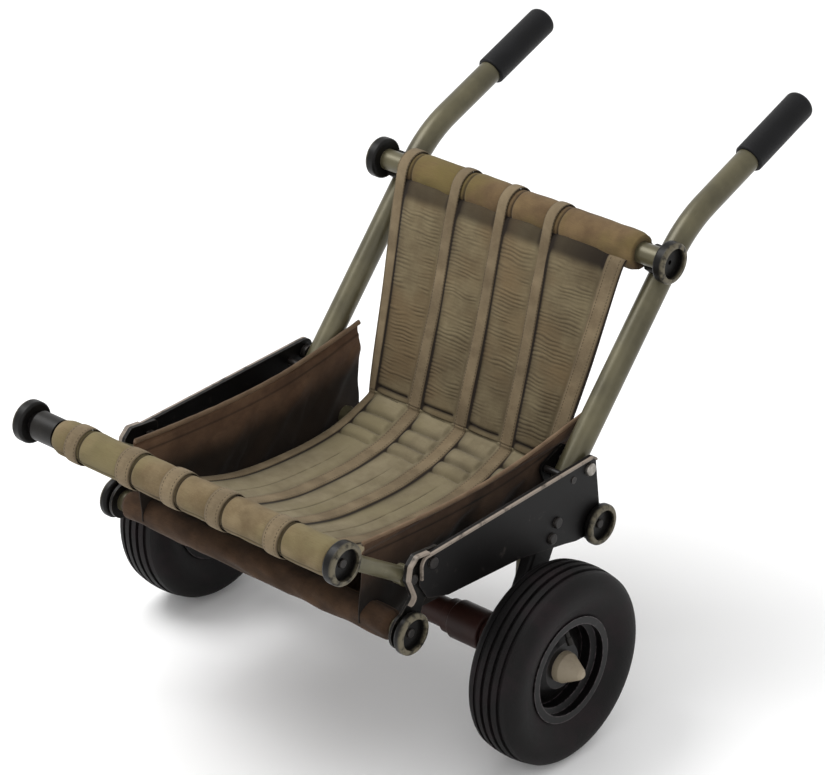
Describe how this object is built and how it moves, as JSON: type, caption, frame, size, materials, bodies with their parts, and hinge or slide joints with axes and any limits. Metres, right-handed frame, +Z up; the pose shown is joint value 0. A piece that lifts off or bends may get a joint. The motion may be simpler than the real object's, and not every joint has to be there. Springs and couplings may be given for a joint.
{
  "type": "game cart",
  "caption": "Two-wheeled game cart with a khaki sling bed between a front bar and folding bent-tube handles, side plates, a hanging bag and a fold-down stand.",
  "frame": {"origin": "on the floor, under the middle of the whole cart's box", "axes": "+Z up; +Y from the front bar towards the handles, along the cart's length; X across the cart, along the axle"},
  "size_m": [0.694, 0.9434, 0.6746],
  "materials": {
    "black_paint": "satin black powder coat",
    "worn_paint": "worn olive-grey paint, bright at the edges",
    "tube_paint": "satin olive-drab tube paint",
    "axle_paint": "dark brown-black paint",
    "zinc": "zinc plated",
    "steel": "bright turned steel",
    "nylon": "black nylon",
    "cap_rubber": "semi-matt moulded rubber",
    "socket_plastic": "black moulded elbow",
    "grip_rubber": "matt black grip",
    "tyre_rubber": "black ribbed tyre",
    "rim_paint": "dark painted pressed steel",
    "hub_plastic": "cream moulded hub",
    "valve_rubber": "black rubber",
    "bag_cloth": "dark olive canvas",
    "sling_cloth": "khaki canvas",
    "sleeve_cloth": "tan padded cloth",
    "webbing": "khaki woven webbing"
  },
  "bodies": {
    "chassis": {"side_plate_right": "black_paint", "side_plate_left": "black_paint", "front_bracket_right": "worn_paint", "front_bracket_left": "worn_paint", "hinge_cheeks": "black_paint", "lower_front_tube": "tube_paint", "lower_rear_tube": "tube_paint", "lower_caps": "cap_rubber", "lower_cap_bolts": "zinc", "axle_leg_right": "black_paint", "axle_leg_left": "black_paint", "axle_tube": "axle_paint", "axle_collars": "black_paint", "axle_rod": "steel", "axle_bushes": "nylon", "axle_spacers": "zinc", "axle_nuts": "zinc", "frame_bolts": "zinc", "pivot_bolts": "zinc", "lock_nuts": "zinc", "pivot_spacers": "zinc", "handle_stops": "zinc", "stand_stops": "black_paint", "bag_side_right": "bag_cloth", "bag_side_left": "bag_cloth", "bag_floor": "bag_cloth", "tube_sleeves": "bag_cloth", "seat_sling": "sling_cloth", "seat_webbing": "webbing"},
    "front_bar": {"front_arms": "worn_paint", "arm_sockets": "socket_plastic", "roller_tube": "tube_paint", "roller_caps": "cap_rubber", "roller_cap_bolts": "zinc", "roller_sleeve": "sleeve_cloth", "roller_loops": "webbing"},
    "handles": {"handle_tube_right": "tube_paint", "handle_tube_left": "tube_paint", "grips": "grip_rubber", "upper_tube": "tube_paint", "upper_caps": "cap_rubber", "saddles": "nylon", "upper_bolts": "zinc", "upper_sleeve": "sleeve_cloth", "upper_loops": "webbing", "back_sling": "sling_cloth", "back_webbing": "webbing"},
    "stand": {"stand_legs": "tube_paint", "stand_crossbar": "tube_paint", "stand_feet": "cap_rubber"},
    "wheel_right": {"tyre_right": "tyre_rubber", "rim_right": "rim_paint", "hub_right": "hub_plastic", "bearings_right": "steel", "valve_right": "valve_rubber"},
    "wheel_left": {"tyre_left": "tyre_rubber", "rim_left": "rim_paint", "hub_left": "hub_plastic", "bearings_left": "steel", "valve_left": "valve_rubber"}
  },
  "joints": [
    {"name": "wheel_right_spin", "type": "hinge", "parent": "chassis", "child": "wheel_right", "pos_m": [0.3, -0.1147, 0.128], "axis": [1, 0, 0], "continuous": true},
    {"name": "wheel_left_spin", "type": "hinge", "parent": "chassis", "child": "wheel_left", "pos_m": [-0.3, -0.1147, 0.128], "axis": [1, 0, 0], "continuous": true},
    {"name": "handle_fold", "type": "hinge", "parent": "chassis", "child": "handles", "pos_m": [0, 0.0193, 0.32], "axis": [1, 0, 0], "range_deg": [0, 75]},
    {"name": "front_bar_fold", "type": "hinge", "parent": "chassis", "child": "front_bar", "pos_m": [0, -0.3027, 0.303], "axis": [-1, 0, 0], "range_deg": [0, 85]},
    {"name": "stand_fold", "type": "hinge", "parent": "chassis", "child": "stand", "pos_m": [0, 0.0353, 0.238], "axis": [1, 0, 0], "range_deg": [0, 95]}
  ]
}
